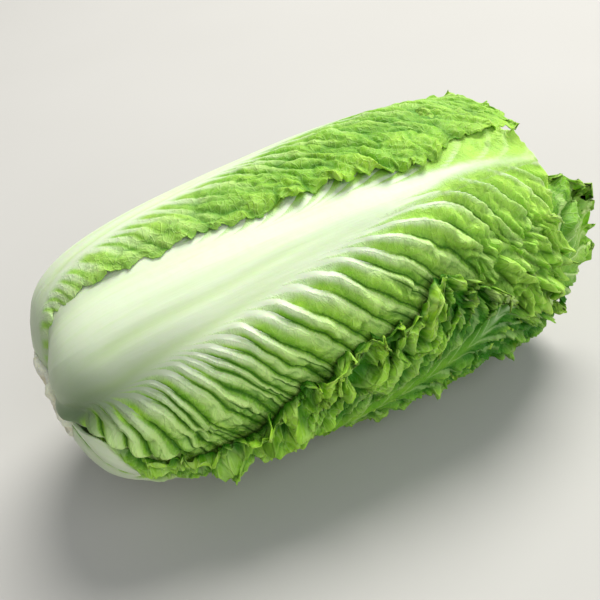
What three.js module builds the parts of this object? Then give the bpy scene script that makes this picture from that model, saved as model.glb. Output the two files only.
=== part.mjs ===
// A napa cabbage head lying on its side: a cut stem core and 22 separate leaves wrapped round it.
// Millimetres. +X runs from the cut stem to the leaf tips, +Z is up, and the origin is under the
// middle of the head on the surface it rests on.
//
// The leaves nest by construction. A point of the head is given by (u, phi, depth): u runs along
// a leaf from its base on the core (0) to the open end of the head (1), phi is the angle round the
// head's axis (0 at the top, 90 degrees at the -Y side), and depth is measured inwards from the
// outer envelope along straight lines that reach the heart. Each leaf lies deeper than the sum of
// all the leaves outside it, their midribs included, so no two leaves can meet.
import * as THREE from "three";

// ---- driving dimensions -------------------------------------------------------------------
const HEAD_LENGTH = 300; // cut stem to the ends of the outer leaves
const STUMP_PROUD = 3; // the trimmed stem stands this far out of the leaf bases
const CORE_RADIUS = 27; // stem radius where the outermost leaves grow from it
const CORE_TIP_X = 70; // the cone-shaped core ends here
const CORE_TIP_RADIUS = 4;
const HEART_END_X = 284; // end of the heart, on the axis
const OVAL_Y = 1.0; // width factor of the head
const OVAL_Z = 0.965; // height factor: the head is slightly flattened
const REST_DEPTH = 74.5; // the axis lies this far above the surface; the underside is pressed flat
const BLADE = 1.2; // thickness of a leaf blade
const GAP = 1.8; // air between two blades
const HEART_GAP = 1.3; // more air round the inner leaves
const COLUMN = 18; // the inner leaves' faces are all cut at the same angles round the axis, this many degrees apart
const CORE_GAP = 0.45; // clearance between a leaf base and the core

// Outer envelope of the head, (x, radius)
const ENVELOPE = [
  [0, 27], [1.6, 33.5], [4.2, 41], [9, 50], [16.5, 57.5], [28, 64], [45, 69.5], [70, 74.3],
  [100, 77.6], [135, 80.3], [170, 82.2], [205, 81.8], [235, 78.6], [262, 72.5], [283, 65], [297, 57],
];
const OBLIQUE = 0.1; // the leafy end is cut this much shorter on the back and upper side
const OBLIQUE_PHI = 100; // the side where the leaves reach furthest, degrees
// Half-width of a leaf and of its white midrib, along the leaf (u, mm). The leaves on top have their
// own margins: a broad low wing on one side, a narrow one where the leaf only comes out at the top.
const LEAF_HALF = [[0, 28], [0.04, 33], [0.09, 38], [0.16, 44], [0.25, 53], [0.36, 66], [0.5, 82], [0.65, 94], [0.77, 95], [0.88, 82], [1, 50]];
const WING_HALF = [[0, 28], [0.04, 32], [0.09, 36], [0.14, 46], [0.2, 66], [0.28, 84], [0.38, 94], [0.5, 101], [0.65, 102], [0.77, 96], [0.88, 80], [1, 48]];
const BACK_HALF = [[0, 28], [0.04, 34], [0.09, 41], [0.14, 49], [0.22, 57], [0.32, 63], [0.42, 68], [0.52, 73], [0.62, 80], [0.72, 86], [0.82, 82], [0.91, 68], [1, 45]];
const FRONT_HALF = [[0, 34], [0.05, 43], [0.09, 46], [0.14, 38], [0.21, 29], [0.29, 33], [0.38, 45], [0.47, 66], [0.56, 80], [0.67, 95], [0.75, 87], [0.82, 68], [0.91, 46], [1, 32]];
const UNDER_HALF = [[0, 40], [0.05, 52], [0.12, 55], [0.18, 54], [0.25, 62], [0.36, 73], [0.48, 83], [0.62, 92], [0.76, 93], [0.88, 80], [1, 50]];
const RIB_HALF = [[0, 25], [0.04, 28], [0.1, 30], [0.17, 30.5], [0.26, 29], [0.36, 26], [0.48, 20.5], [0.6, 14.5], [0.72, 9], [0.83, 5.5], [0.92, 3.5], [1, 2.5]];
// Radius of the innermost line of the nest, along the leaf: the heart bulges just past the core's tip
const HEART_R = [[0, 4], [0.04, 7], [0.1, 10], [0.18, 10], [0.32, 7], [0.5, 5], [0.8, 4.5], [1, 4]];
const RIB_THICK = [[0, 5.6], [0.1, 6], [0.2, 5.4], [0.35, 4], [0.5, 2.8], [0.7, 1.5], [0.9, 0.6], [1, 0.3]];

// ---- the leaves, from the outermost inwards -------------------------------------------------
const LEAVES = [
  { name: "outer_leaf_underside", phi: 182, width: 1.0, end: 0.985, minus: UNDER_HALF, colour: 0x5f9a2c },
  { name: "outer_leaf_back", phi: 327, width: 1.0, end: 0.985, plus: BACK_HALF, colour: 0x6aa832 },
  { name: "outer_leaf_front", phi: 135, width: 1.0, end: 1.0, minus: FRONT_HALF, colour: 0x66a22f },
  { name: "outer_leaf_top", phi: 38.5, width: 1.0, end: 0.96, plus: WING_HALF, colour: 0x78b43c },
];
const SECOND = [88, 206, 264, 356];
SECOND.forEach((phi, i) => LEAVES.push({ name: "second_leaf_" + (i + 1), phi, width: 0.96 - 0.015 * i, end: [1.0, 0.985, 0.97, 0.965][i], colour: 0x86be49 }));
const ENDS = [0.99, 0.975, 0.98, 0.965, 0.97, 0.95, 0.955, 0.935, 0.94, 0.92, 0.91, 0.89, 0.87, 0.85];
for (let i = 0; i < ENDS.length; i++)
  LEAVES.push({
    name: i < 6 ? "inner_leaf_" + (i + 1) : "heart_leaf_" + (i - 5),
    phi: [126, 270, 54, 198, 342, 108, 252, 36, 180, 324, 90, 234, 18, 162][i],
    width: 0.86 - 0.034 * i,
    end: ENDS[i],
    colour: i < 6 ? 0xb4d36a : 0xe2e08a,
  });

// ---- helpers --------------------------------------------------------------------------------
const RAD = Math.PI / 180;

// Smooth curve through (x, y) pairs: a Catmull-Rom spline with unequal steps
function tableAt(table, x) {
  const n = table.length;
  if (x <= table[0][0]) return table[0][1];
  if (x >= table[n - 1][0]) return table[n - 1][1];
  let i = 0;
  while (x > table[i + 1][0]) i++;
  const slope = (k) => {
    const a = Math.max(k - 1, 0), b = Math.min(k + 1, n - 1);
    return (table[b][1] - table[a][1]) / (table[b][0] - table[a][0]);
  };
  const h = table[i + 1][0] - table[i][0], t = (x - table[i][0]) / h;
  const a = table[i][1], b = table[i + 1][1], da = slope(i) * h, db = slope(i + 1) * h;
  return (2 * t ** 3 - 3 * t ** 2 + 1) * a + (t ** 3 - 2 * t ** 2 + t) * da + (3 * t ** 2 - 2 * t ** 3) * b + (t ** 3 - t ** 2) * db;
}

// The envelope by its own length, 0 to 1
const cum = [0];
for (let i = 1; i < ENVELOPE.length; i++)
  cum.push(cum[i - 1] + Math.hypot(ENVELOPE[i][0] - ENVELOPE[i - 1][0], ENVELOPE[i][1] - ENVELOPE[i - 1][1]));
const ENV_X = ENVELOPE.map((p, i) => [cum[i] / cum[cum.length - 1], p[0]]);
const ENV_R = ENVELOPE.map((p, i) => [cum[i] / cum[cum.length - 1], p[1]]);

// The line of nested points at (u, phi): its outer end on the envelope and its inner end at the heart.
// y grows towards -Y (phi 90), z is up.
function ray(u, phi) {
  const x = tableAt(ENV_X, u), r = tableAt(ENV_R, u);
  let y = OVAL_Y * r * Math.sin(phi), z = OVAL_Z * r * Math.cos(phi);
  if (z < -REST_DEPTH) {
    const k = REST_DEPTH / -z;
    y *= k;
    z = -REST_DEPTH;
  }
  const xi = CORE_TIP_X + (HEART_END_X - CORE_TIP_X) * Math.pow(u, 1.5);
  const ri = tableAt(HEART_R, u);
  return {
    out: [x, -y, z],
    in: [xi, -ri * Math.sin(phi), ri * Math.cos(phi)],
    length: Math.hypot(xi - x, r - ri),
    r,
  };
}

const bump = (x) => (Math.abs(x) < 1 ? (1 - x * x) ** 2 : 0);
const turn = (a) => a - 360 * Math.round(a / 360);

// Depth of leaf k's outer face: every leaf outside it, with its blade, its midrib and a gap
function outerDepth(k, u, phi) {
  let d = k >= 8 ? HEART_GAP : 0;
  for (let j = 0; j < k; j++) d += BLADE + GAP + ribThick(j, u, phi);
  return d;
}
// Radius at which leaf k's middle runs, used to turn widths into angles
function leafRadius(k, u) {
  const len = ray(u, 0).length, r = tableAt(ENV_R, u);
  let d = k * (BLADE + GAP);
  for (let j = 0; j < k; j++) d += 0.28 * tableAt(RIB_THICK, u) * ribScale(j);
  return r + (tableAt(HEART_R, u) - r) * Math.min(d / len, 0.97);
}
const ribScale = (j) => (j < 4 ? 1 : j < 8 ? 0.8 : Math.max(0.16, 0.5 - 0.05 * (j - 8)));
const ribWidth = (j) => (j < 8 ? LEAVES[j].width : 0.8 * LEAVES[j].width);
function ribAngle(j, u) {
  return Math.min(tableAt(RIB_HALF, u) * ribWidth(j) / leafRadius(j, u) / RAD, 130);
}
function ribThick(j, u, phi) {
  return tableAt(RIB_THICK, u) * ribScale(j) * bump(turn(phi - LEAVES[j].phi) / ribAngle(j, u));
}

// ---- one leaf: a closed shell, its outer face, its inner face and the rim between them --------
function leafGeometry(k, nu, nv) {
  const leaf = LEAVES[k], pos = [], idx = [];
  const rows = nv + 1, cols = nu + 1;
  for (const side of [0, 1])
    for (let j = 0; j <= nv; j++)
      for (let i = 0; i <= nu; i++) {
        const p = (2 * i) / nu - 1, q = Math.pow(j / nv, 1.25);
        const s = Math.min(Math.max((q - 0.55) / 0.45, 0), 1);
        let u = leaf.end * q * (1 - 0.13 * Math.pow(Math.abs(p), 2.4) * s * s * (3 - 2 * s));
        const wide = (p < 0 ? leaf.minus : leaf.plus) || LEAF_HALF;
        const half = k < 8 ? Math.min((tableAt(wide, q) * leaf.width) / leafRadius(k, u) / RAD, 120) : (COLUMN * nu) / 2;
        const phi = leaf.phi + p * half;
        u *= 1 - (OBLIQUE * q * q * (1 - Math.cos((phi - OBLIQUE_PHI) * RAD))) / 2;
        const rayHere = ray(u, phi * RAD);
        const edge = 1 - 0.45 * Math.pow(Math.abs(p), 6);
        let d = outerDepth(k, u, phi);
        if (side) d += BLADE * edge + ribThick(k, u, phi);
        const t = Math.min(d / rayHere.length, 0.985);
        for (let c = 0; c < 3; c++) pos.push(rayHere.out[c] * (1 - t) + rayHere.in[c] * t);
      }
  const at = (side, j, i) => side * rows * cols + j * cols + i;
  const quad = (a, b, c, d) => idx.push(a, b, c, a, c, d);
  for (let j = 0; j < nv; j++)
    for (let i = 0; i < nu; i++) {
      quad(at(0, j, i), at(0, j, i + 1), at(0, j + 1, i + 1), at(0, j + 1, i));
      quad(at(1, j, i), at(1, j + 1, i), at(1, j + 1, i + 1), at(1, j, i + 1));
    }
  for (let j = 0; j < nv; j++) {
    quad(at(0, j, 0), at(0, j + 1, 0), at(1, j + 1, 0), at(1, j, 0));
    quad(at(0, j, nu), at(1, j, nu), at(1, j + 1, nu), at(0, j + 1, nu));
  }
  for (let i = 0; i < nu; i++) {
    quad(at(0, 0, i), at(1, 0, i), at(1, 0, i + 1), at(0, 0, i + 1));
    quad(at(0, nv, i), at(0, nv, i + 1), at(1, nv, i + 1), at(1, nv, i));
  }
  const g = new THREE.BufferGeometry();
  g.setAttribute("position", new THREE.Float32BufferAttribute(pos, 3));
  g.setIndex(idx);
  g.computeVertexNormals();
  return g;
}

// ---- the stem core: a cone with a short trimmed stump -----------------------------------------
function coreGeometry() {
  const dx = CORE_TIP_X, dr = CORE_RADIUS - CORE_TIP_RADIUS, n = Math.hypot(dx, dr);
  const off = (x, r) => new THREE.Vector2(r - (CORE_GAP * dx) / n, x - (CORE_GAP * dr) / n);
  const foot = off(0, CORE_RADIUS), tip = off(CORE_TIP_X - 4, CORE_TIP_RADIUS + 1.05);
  const profile = [
    new THREE.Vector2(0, -STUMP_PROUD),
    new THREE.Vector2(foot.x - 3.2, -STUMP_PROUD),
    new THREE.Vector2(foot.x - 1.6, -STUMP_PROUD + 0.6),
    new THREE.Vector2(foot.x - 0.7, -STUMP_PROUD + 2),
    foot,
    off(20, CORE_RADIUS - (dr * 20) / dx),
    off(45, CORE_RADIUS - (dr * 45) / dx),
    tip,
    new THREE.Vector2(tip.x * 0.55, tip.y + 1.8),
    new THREE.Vector2(0, tip.y + 2.4),
  ];
  const g = new THREE.LatheGeometry(profile, 28);
  g.rotateZ(-Math.PI / 2); // the lathe axis becomes +X
  g.scale(1, OVAL_Y, OVAL_Z);
  return g;
}

// ---- assembly -------------------------------------------------------------------------------
const head = new THREE.Group();
const coreMesh = new THREE.Mesh(coreGeometry(), new THREE.MeshStandardMaterial({ color: 0xe6e4c4, roughness: 0.7, metalness: 0 }));
coreMesh.name = "stem_core";
head.add(coreMesh);
LEAVES.forEach((leaf, k) => {
  const outer = k < 4, near = k < 8;
  const mesh = new THREE.Mesh(
    leafGeometry(k, outer ? 17 : near ? 12 : 10, outer ? 14 : near ? 12 : 9),
    new THREE.MeshStandardMaterial({ color: leaf.colour, roughness: 0.5, metalness: 0 }),
  );
  mesh.name = leaf.name;
  head.add(mesh);
});

// Centre the head over the origin, resting on z = 0
const box = new THREE.Box3().setFromObject(head, true);
head.position.set(-(box.min.x + box.max.x) / 2, -(box.min.y + box.max.y) / 2, -box.min.z);
head.name = "napa_cabbage";
head.userData.length = HEAD_LENGTH;

const napaCabbage = new THREE.Group();
napaCabbage.add(head);
export default napaCabbage;
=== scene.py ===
import math
import bpy
import numpy as np
from mathutils import Matrix, Vector


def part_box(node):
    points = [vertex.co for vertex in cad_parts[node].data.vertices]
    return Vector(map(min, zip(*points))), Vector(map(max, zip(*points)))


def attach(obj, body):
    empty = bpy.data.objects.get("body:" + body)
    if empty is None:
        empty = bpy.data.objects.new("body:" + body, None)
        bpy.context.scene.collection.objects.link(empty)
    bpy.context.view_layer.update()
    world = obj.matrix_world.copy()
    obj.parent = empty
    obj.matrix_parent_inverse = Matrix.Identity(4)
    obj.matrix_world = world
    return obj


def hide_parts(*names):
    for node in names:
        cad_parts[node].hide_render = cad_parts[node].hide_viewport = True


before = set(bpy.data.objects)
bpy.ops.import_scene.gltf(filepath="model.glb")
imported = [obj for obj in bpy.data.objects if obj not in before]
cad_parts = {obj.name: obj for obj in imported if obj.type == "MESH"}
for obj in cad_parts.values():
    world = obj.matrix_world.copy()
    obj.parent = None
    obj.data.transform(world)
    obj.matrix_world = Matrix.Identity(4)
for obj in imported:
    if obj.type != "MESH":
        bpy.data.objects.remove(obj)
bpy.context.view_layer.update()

RAD = math.pi / 180

# ------------------------------------------------------------------ camera
# Fitted to the photograph's outline: 48 mm lens on a 36 mm frame, image taken as 600 x 600.
TARGET = Vector((0.00158, -0.00145, 0.0665))
AZ, EL, ROLL, DIST = -18.0 * RAD, 37.81 * RAD, -11.54 * RAD, 0.4563
away = Vector((math.sin(AZ) * math.cos(EL), -math.cos(AZ) * math.cos(EL), math.sin(EL)))
fwd = -away
right = fwd.cross(Vector((0, 0, 1))).normalized()
up = right.cross(fwd)
R = math.cos(ROLL) * right + math.sin(ROLL) * up
U = -math.sin(ROLL) * right + math.cos(ROLL) * up
cam_data = bpy.data.cameras.new("camera")
cam_data.lens, cam_data.sensor_width = 48.0, 36.0
cam_data.shift_x, cam_data.shift_y = -0.0205, -0.0062
cam_data.clip_start, cam_data.clip_end = 0.02, 50
cam = bpy.data.objects.new("camera", cam_data)
cam.matrix_world = Matrix((
    (R.x, U.x, away.x, TARGET.x + DIST * away.x),
    (R.y, U.y, away.y, TARGET.y + DIST * away.y),
    (R.z, U.z, away.z, TARGET.z + DIST * away.z),
    (0, 0, 0, 1),
))
bpy.context.scene.collection.objects.link(cam)
bpy.context.scene.camera = cam

# ------------------------------------------------------------------ the head's nest of leaves
# The same construction as the CAD: a point is (u, phi, depth), u along the head, phi round its axis
# (0 top, 90 at -Y), depth inwards from the envelope. Millimetres until the meshes are made.
CORE_TIP_X, HEART_END_X = 70.0, 284.0
OVAL_Z, REST_DEPTH = 0.965, 74.5
BLADE, GAP, HEART_GAP = 1.2, 1.8, 1.3
OBLIQUE, OBLIQUE_PHI = 0.1, 100.0
ENVELOPE = [(0, 27), (1.6, 33.5), (4.2, 41), (9, 50), (16.5, 57.5), (28, 64), (45, 69.5), (70, 74.3), (100, 77.6), (135, 80.3), (170, 82.2), (205, 81.8), (235, 78.6), (262, 72.5), (283, 65), (297, 57)]
LEAF_HALF = [(0, 28), (.04, 33), (.09, 38), (.16, 44), (.25, 53), (.36, 66), (.5, 82), (.65, 94), (.77, 95), (.88, 82), (1, 50)]
WING_HALF = [(0, 33), (.04, 37), (.08, 40), (.1, 43), (.12, 49), (.14, 57), (.165, 64), (.19, 70), (.24, 79), (.3, 87), (.38, 94), (.5, 101), (.65, 102), (.77, 96), (.88, 80), (1, 48)]
BACK_HALF = [(0, 28), (.04, 34), (.09, 41), (.14, 49), (.22, 57), (.32, 63), (.42, 68), (.52, 73), (.62, 76), (.7, 82), (.76, 84), (.8, 81), (.84, 74), (.88, 67), (.93, 66), (1, 60)]
FRONT_HALF = [(0, 25), (.05, 35), (.09, 42), (.13, 41), (.17, 37), (.21, 36), (.25, 38), (.29, 40), (.33, 47), (.38, 53), (.43, 62), (.48, 69), (.54, 75), (.6, 80), (.65, 84), (.69, 92), (.73, 91), (.79, 81), (.86, 65), (.95, 38), (1, 28)]
UNDER_HALF = [(0, 40), (.05, 55), (.12, 60), (.18, 60), (.25, 64), (.36, 66), (.48, 67), (.62, 70), (.76, 73), (.88, 68), (1, 50)]
WIDE_HALF = [(0, 28), (.04, 33), (.09, 39), (.16, 52), (.25, 70), (.36, 84), (.5, 92), (.65, 97), (.77, 95), (.88, 82), (1, 50)]
RIB_HALF = [(0, 25), (.04, 28), (.1, 30), (.17, 30.5), (.26, 29), (.36, 26), (.48, 20.5), (.6, 14.5), (.72, 9), (.83, 5.5), (.92, 3.5), (1, 2.5)]
HEART_R = [(0, 4), (.04, 7), (.1, 10), (.18, 10), (.32, 7), (.5, 5), (.8, 4.5), (1, 4)]
RIB_THICK = [(0, 5.6), (.1, 6), (.2, 5.4), (.35, 4), (.5, 2.8), (.7, 1.5), (.9, .6), (1, .3)]
# How far a leaf's tip is drawn back, by the distance from its midrib (mm, mm)
BACK_TIP = [(-100, 60), (-50, 27), (0, 13), (25, 8), (40, 4), (55, 6), (63, 12), (75, 22), (100, 46)]
TOP_TIP = [(-90, 60), (-45, 34), (-20, 13), (-8, 9), (4, 9), (14, 15), (25, 20), (50, 21), (80, 30), (110, 50)]

LEAVES = [
    dict(name="outer_leaf_underside", phi=182.0, width=1.0, end=.985, minus=UNDER_HALF, plus=WIDE_HALF),
    dict(name="outer_leaf_back", phi=327.0, width=1.0, end=.985, minus=WIDE_HALF, plus=BACK_HALF, tip=BACK_TIP),
    dict(name="outer_leaf_front", phi=135.0, width=1.0, end=.97, minus=FRONT_HALF),
    dict(name="outer_leaf_top", phi=38.5, width=1.0, end=.96, plus=WING_HALF, tip=TOP_TIP),
]
for i, a in enumerate([88.0, 206.0, 264.0, 356.0]):
    LEAVES.append(dict(name=f"second_leaf_{i + 1}", phi=a, width=.96 - .015 * i, end=[1.0, .985, .97, .965][i]))
ENDS = [.99, .975, .98, .965, .97, .95, .955, .935, .94, .92, .91, .89, .87, .85]
for i, a in enumerate([126, 270, 54, 198, 342, 108, 252, 36, 180, 324, 90, 234, 18, 162]):
    LEAVES.append(dict(name=f"inner_leaf_{i + 1}" if i < 6 else f"heart_leaf_{i - 5}", phi=float(a), width=.86 - .034 * i, end=ENDS[i]))


def dense(table, n=2001):
    """The table's Catmull-Rom curve, sampled so that np.interp can read it."""
    t = np.array(table, float)
    X, Y = t[:, 0], t[:, 1]
    a = np.maximum(np.arange(len(X)) - 1, 0)
    b = np.minimum(np.arange(len(X)) + 1, len(X) - 1)
    slope = (Y[b] - Y[a]) / (X[b] - X[a])
    x = np.linspace(X[0], X[-1], n)
    i = np.clip(np.searchsorted(X, x, "left") - 1, 0, len(X) - 2)
    h = X[i + 1] - X[i]
    s = (x - X[i]) / h
    y = (2 * s**3 - 3 * s**2 + 1) * Y[i] + (s**3 - 2 * s**2 + s) * slope[i] * h + (3 * s**2 - 2 * s**3) * Y[i + 1] + (s**3 - s**2) * slope[i + 1] * h
    return x, y


cum = np.concatenate([[0], np.cumsum(np.hypot(np.diff([e[0] for e in ENVELOPE]), np.diff([e[1] for e in ENVELOPE])))])
LENGTH = float(cum[-1])
T = {
    "x": dense([(c / LENGTH, e[0]) for c, e in zip(cum, ENVELOPE)]),
    "r": dense([(c / LENGTH, e[1]) for c, e in zip(cum, ENVELOPE)]),
    "heart": dense(HEART_R), "rib": dense(RIB_HALF), "thick": dense(RIB_THICK),
    "half": dense(LEAF_HALF),
}
for leaf in LEAVES:
    for side in ("minus", "plus"):
        leaf[side + "_t"] = dense(leaf[side]) if side in leaf else T["half"]


def look(table, x):
    return np.interp(x, table[0], table[1])


def turn(a):
    return a - 360 * np.round(a / 360)


def smooth(a, b, x):
    s = np.clip((x - a) / (b - a), 0, 1)
    return s * s * (3 - 2 * s)


def bump(x):
    return np.where(np.abs(x) < 1, (1 - np.minimum(x * x, 1)) ** 2, 0)


def ray(u, phi):
    """Outer and inner end of the line of nested points at (u, phi in degrees), and its length."""
    f = phi * RAD
    x, r = look(T["x"], u), look(T["r"], u)
    y, z = r * np.sin(f), OVAL_Z * r * np.cos(f)
    k = np.where(z < -REST_DEPTH, REST_DEPTH / np.maximum(-z, 1e-9), 1.0)
    y, z = y * k, np.maximum(z, -REST_DEPTH)
    xi = CORE_TIP_X + (HEART_END_X - CORE_TIP_X) * np.maximum(u, 0) ** 1.5
    ri = look(T["heart"], u)
    out = np.stack([x, -y, z], -1)
    inn = np.stack([xi, -ri * np.sin(f), ri * np.cos(f)], -1)
    return out, inn, np.hypot(xi - x, r - ri)


def rib_scale(j):
    return 1 if j < 4 else .8 if j < 8 else max(.16, .5 - .05 * (j - 8))


def leaf_radius(k, u):
    x, r = look(T["x"], u), look(T["r"], u)
    xi = CORE_TIP_X + (HEART_END_X - CORE_TIP_X) * np.maximum(u, 0) ** 1.5
    ri = look(T["heart"], u)
    length = np.hypot(xi - x, r - ri)
    d = k * (BLADE + GAP) + .28 * look(T["thick"], u) * sum(rib_scale(j) for j in range(k))
    return r + (ri - r) * np.minimum(d / length, .97)


def rib_thick(j, u, phi):
    w = LEAVES[j]["width"] * (1 if j < 8 else .8)
    angle = np.minimum(look(T["rib"], u) * w / leaf_radius(j, u) / RAD, 130)
    return look(T["thick"], u) * rib_scale(j) * bump(turn(phi - LEAVES[j]["phi"]) / angle)


def half_width(k, side, q):
    """Half-width of leaf k in mm on the side of smaller (-1) or larger (+1) phi."""
    leaf = LEAVES[k]
    return np.where(side < 0, look(leaf["minus_t"], q), look(leaf["plus_t"], q)) * leaf["width"]


def along_head(k, q, p, b):
    """u of the leaf's point at q of its length, p of its half-width and b mm from its midrib, before the oblique cut."""
    leaf, s = LEAVES[k], smooth(.55, 1, q)
    if "tip" in leaf:
        return leaf["end"] * q - np.interp(b, [t[0] for t in leaf["tip"]], [t[1] for t in leaf["tip"]]) / LENGTH * s
    return leaf["end"] * q * (1 - .13 * np.abs(p) ** 2.4 * s)


def oblique(q, phi):
    return 1 - OBLIQUE * q * q * (1 - np.cos((phi - OBLIQUE_PHI) * RAD)) / 2


def covered(j, u, phi, fade=22.0):
    """How far leaf j lies over the point: 1 under it, fading to 0 past its margin."""
    leaf = LEAVES[j]
    q = u / leaf["end"]
    away_ = turn(phi - leaf["phi"])
    rad_j = leaf_radius(j, u)
    for _ in range(9):
        qc = np.clip(q, .01, 1)
        half = np.minimum(half_width(j, np.sign(away_), qc) / rad_j / RAD, 120)
        p = away_ / half
        q = qc + (u - along_head(j, qc, np.clip(p, -1, 1), away_ * RAD * rad_j) * oblique(qc, phi)) / leaf["end"]
    mm = half * RAD * rad_j
    side, tip = (np.abs(p) - 1) * mm, (q - 1) * LENGTH * leaf["end"]
    d = np.where((side > 0) & (tip > 0), np.hypot(side, tip), np.maximum(side, tip))
    return 1 - smooth(0, fade, d)


def depth_over(k, u, phi):
    """Depth of leaf k's outer face: what the leaves outside it take up where they are."""
    d = np.zeros_like(u) + (HEART_GAP if k >= 8 else 0)
    if k >= 4:  # room for the hollow beside the top leaf's stalk
        d = d + 3.2 * smooth(.36, .2, u) * bump(turn(phi - 80) / 58)
    for j in range(k):
        w = covered(j, u, phi) if j < 8 else 1.0
        d = d + w * (BLADE + GAP + rib_thick(j, u, phi))
    return d


# ------------------------------------------------------------------ noise, all of it seeded
def _hash(ix, iy, seed):
    h = (ix.astype(np.int64) * 374761393 + iy.astype(np.int64) * 668265263 + seed * 974634777) & 0xFFFFFFFF
    h = ((h ^ (h >> 13)) * 1274126177) & 0xFFFFFFFF
    h = ((h ^ (h >> 16)) * 2246822519) & 0xFFFFFFFF
    return ((h ^ (h >> 13)) & 0xFFFFFF) / float(0xFFFFFF)


def noise(x, y, seed):
    """Gradient noise, about -1 to 1."""
    ix, iy = np.floor(x), np.floor(y)
    fx, fy = x - ix, y - iy
    total = 0
    for dx in (0, 1):
        for dy in (0, 1):
            a = _hash(ix + dx, iy + dy, seed) * 2 * math.pi
            g = np.cos(a) * (fx - dx) + np.sin(a) * (fy - dy)
            wx = 1 - np.abs(fx - dx)
            wy = 1 - np.abs(fy - dy)
            wx = wx**3 * (wx * (wx * 6 - 15) + 10)
            wy = wy**3 * (wy * (wy * 6 - 15) + 10)
            total = total + g * wx * wy
    return total * 1.55


def fbm(x, y, seed, octaves=3, gain=.5):
    total, amp, norm = 0, 1.0, 0.0
    for o in range(octaves):
        total = total + amp * noise(x * 2**o + 17.3 * o, y * 2**o - 9.1 * o, seed + 101 * o)
        norm += amp
        amp *= gain
    return total / norm


def cells(x, y, seed):
    """Distance to the nearest cell border (0 on it), the cell's own number, and distance to its centre."""
    ix, iy = np.floor(x), np.floor(y)
    f1 = np.full(x.shape, 9.0)
    f2 = np.full(x.shape, 9.0)
    own = np.zeros(x.shape)
    for dx in (-1, 0, 1):
        for dy in (-1, 0, 1):
            cx, cy = ix + dx, iy + dy
            px = cx + .5 + .8 * (_hash(cx, cy, seed) - .5)
            py = cy + .5 + .8 * (_hash(cx, cy, seed + 7) - .5)
            d = np.hypot(px - x, py - y)
            near = d < f1
            f2 = np.where(near, f1, np.minimum(f2, d))
            own = np.where(near, _hash(cx, cy, seed + 13), own)
            f1 = np.where(near, d, f1)
    return f2 - f1, own, f1


# ------------------------------------------------------------------ meshes
# head coordinates to the row frame, in mm, read from the core's box
lo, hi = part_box("stem_core")
OFFSET = np.array([lo.x * 1000 + 3.0, (lo.y + hi.y) * 500, (lo.z + hi.z) * 500])


def raw_mesh(name, verts, loops, lens, uvs, attrs, material):
    """verts in head mm; loops and lens are the faces' corners; uvs per corner; attrs {name: per-vertex values}."""
    me = bpy.data.meshes.new(name)
    co = ((verts + OFFSET) / 1000).astype(np.float32)
    me.vertices.add(len(co))
    me.vertices.foreach_set("co", co.ravel())
    me.loops.add(len(loops))
    me.loops.foreach_set("vertex_index", loops.astype(np.int32))
    me.polygons.add(len(lens))
    me.polygons.foreach_set("loop_start", np.concatenate([[0], np.cumsum(lens)[:-1]]).astype(np.int32))
    me.polygons.foreach_set("use_smooth", np.ones(len(lens), bool))
    me.update(calc_edges=True)
    me.uv_layers.new(name="OFBake").uv.foreach_set("vector", uvs.astype(np.float32).ravel())
    for key, val in attrs.items():
        if val.ndim == 2:
            me.attributes.new(key, "FLOAT_VECTOR", "POINT").data.foreach_set("vector", val.astype(np.float32).ravel())
        else:
            me.attributes.new(key, "FLOAT", "POINT").data.foreach_set("value", val.astype(np.float32).ravel())
    if me.validate():
        print("repaired", name)
    me.materials.append(material)
    ob = bpy.data.objects.new(name, me)
    bpy.context.scene.collection.objects.link(ob)
    return ob


def grid_axes(P):
    """Unit vectors along the rows' direction and the columns' direction, and the outward normal, on a grid of points."""
    ta = np.gradient(P, axis=0)
    tb = np.gradient(P, axis=1)
    ta /= np.maximum(np.linalg.norm(ta, axis=2, keepdims=True), 1e-9)
    tb /= np.maximum(np.linalg.norm(tb, axis=2, keepdims=True), 1e-9)
    n = np.cross(ta, tb)
    n /= np.maximum(np.linalg.norm(n, axis=2, keepdims=True), 1e-9)
    return ta, tb, n


def phase_table(spacing, seed, jitter=.42):
    """Vein number as a function of the place where the vein leaves the rib; the gaps between veins vary."""
    x, n = -60.0, 0
    xs, ns = [x], [0.0]
    while x < 430:
        r = float(_hash(np.array([float(n)]), np.array([3.0]), seed)[0])
        x += float(np.interp(x, [p[0] for p in spacing], [p[1] for p in spacing])) * (1 + jitter * (2 * r - 1))
        n += 1
        xs.append(x)
        ns.append(float(n))
    return np.array(xs), np.array(ns)


def xtable(pairs):
    x = np.linspace(-60, 420, 481)
    return x, np.interp(x, [p[0] for p in pairs], [p[1] for p in pairs])


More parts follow.
